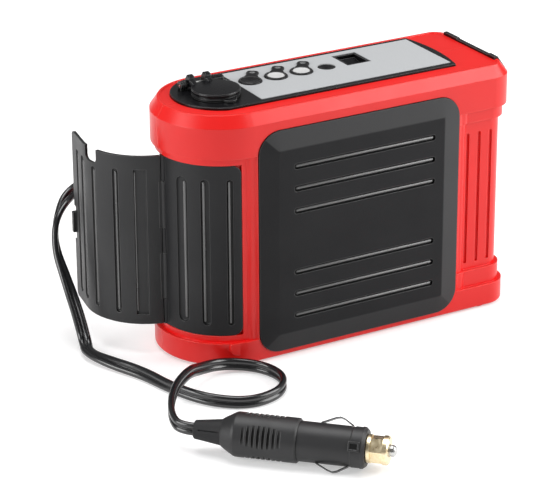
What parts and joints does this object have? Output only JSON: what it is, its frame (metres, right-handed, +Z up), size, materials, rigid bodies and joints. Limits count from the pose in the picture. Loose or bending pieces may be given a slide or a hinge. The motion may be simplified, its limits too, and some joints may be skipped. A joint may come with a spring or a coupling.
{
  "type": "portable battery booster",
  "caption": "Red upright car battery booster with black side covers, one swung open, a control deck with a capped 12 V outlet, and a lead ending in a 12 V plug.",
  "frame": {"origin": "Centre of the housing's footprint, between its round left end and its square right end, on the surface that it stands on", "axes": "+X along the length to the end with the work light, +Y from the padded front to the rear, +Z up"},
  "size_m": [0.2545, 0.2814, 0.1549],
  "materials": {
    "housing_red": "smooth injection-moulded ABS, light gloss",
    "panel_black": "soft-touch overmoulding, fine matte texture",
    "cover_black": "fine spark-eroded texture, slight sheen",
    "inner_black": "satin moulded plastic",
    "label_grey": "printed polycarbonate overlay, fine satin grain",
    "button_grey": "satin moulded plastic",
    "lamp_clear": "clear polycarbonate",
    "steel": "nickel-plated steel",
    "bright_metal": "nickel-plated sleeve",
    "reflector": "metallised plastic",
    "lamp_white": "clear epoxy lamp",
    "battery_case": "moulded battery case",
    "brass": "turned brass",
    "board_green": "solder mask",
    "component_dark": "moulded components",
    "fuse_orange": "translucent blade fuse",
    "rubber_black": "soft PVC, slight gloss",
    "plug_black": "fine moulded texture",
    "fuse_glass": "glass fuse"
  },
  "bodies": {
    "booster": {"front_shell": "housing_red", "rear_shell": "housing_red", "front_panel": "panel_black", "side_cover": "cover_black", "storage_bay": "inner_black", "deck_bezel": "inner_black", "outlet_socket": "inner_black", "switch_frame": "inner_black", "light_bezel": "inner_black", "key_bezel_1": "inner_black", "key_bezel_2": "inner_black", "key_bezel_3": "inner_black", "control_label": "label_grey", "key_lamp_1": "lamp_clear", "key_lamp_2": "lamp_clear", "key_lamp_3": "lamp_clear", "light_lens": "lamp_clear", "door_hinge_pin": "steel", "cap_hinge_pin": "steel", "case_screws": "steel", "board_screws": "steel", "outlet_contact": "steel", "plug_contacts": "steel", "plug_spring": "steel", "outlet_sleeve": "bright_metal", "light_reflector": "reflector", "light_lamps": "lamp_white", "lamp_diodes": "lamp_white", "battery": "battery_case", "battery_terminals": "brass", "plug_collar": "brass", "circuit_board": "board_green", "relay": "component_dark", "board_parts": "component_dark", "tact_switches": "component_dark", "board_fuse": "fuse_orange", "lead_gland": "rubber_black", "power_lead": "rubber_black", "plug_strain_relief": "rubber_black", "plug_grip": "plug_black", "plug_barrel": "plug_black"},
    "door": {"storage_door": "cover_black"},
    "cap": {"outlet_cap": "inner_black"},
    "start_button": {"start_button": "inner_black"},
    "check_button": {"check_button": "button_grey"},
    "reset_button": {"reset_button": "button_grey"},
    "light_button": {"light_button": "inner_black"},
    "rocker": {"power_rocker": "inner_black"},
    "tip": {"plug_tip": "steel", "plug_fuse": "fuse_glass"}
  },
  "joints": [
    {"name": "door_hinge", "type": "hinge", "parent": "booster", "child": "door", "pos_m": [-0.09975, 0, 0.06775], "axis": [0, 0, 1], "range_deg": [-80.5, 0]},
    {"name": "cap_hinge", "type": "hinge", "parent": "booster", "child": "cap", "pos_m": [-0.06835, 0.014, 0.149], "axis": [-1, 0, 0], "range_deg": [0, 100]},
    {"name": "start_button_press", "type": "slide", "parent": "booster", "child": "start_button", "axis": [0, 0, -1], "range_m": [0, 0.0006], "stiffness_N_per_m": 1500},
    {"name": "check_button_press", "type": "slide", "parent": "booster", "child": "check_button", "axis": [0, 0, -1], "range_m": [0, 0.0006], "stiffness_N_per_m": 1500},
    {"name": "reset_button_press", "type": "slide", "parent": "booster", "child": "reset_button", "axis": [0, 0, -1], "range_m": [0, 0.0006], "stiffness_N_per_m": 1500},
    {"name": "light_button_press", "type": "slide", "parent": "booster", "child": "light_button", "axis": [0, 0, -1], "range_m": [0, 0.0006], "stiffness_N_per_m": 1500},
    {"name": "rocker_pivot", "type": "hinge", "parent": "booster", "child": "rocker", "pos_m": [0.02515, 0.012, 0.1413], "axis": [-1, 0, 0], "range_deg": [0, 14]},
    {"name": "tip_slide", "type": "slide", "parent": "booster", "child": "tip", "axis": [-0.7254, 0.6884, 0], "range_m": [0, 0.002], "stiffness_N_per_m": 600}
  ]
}
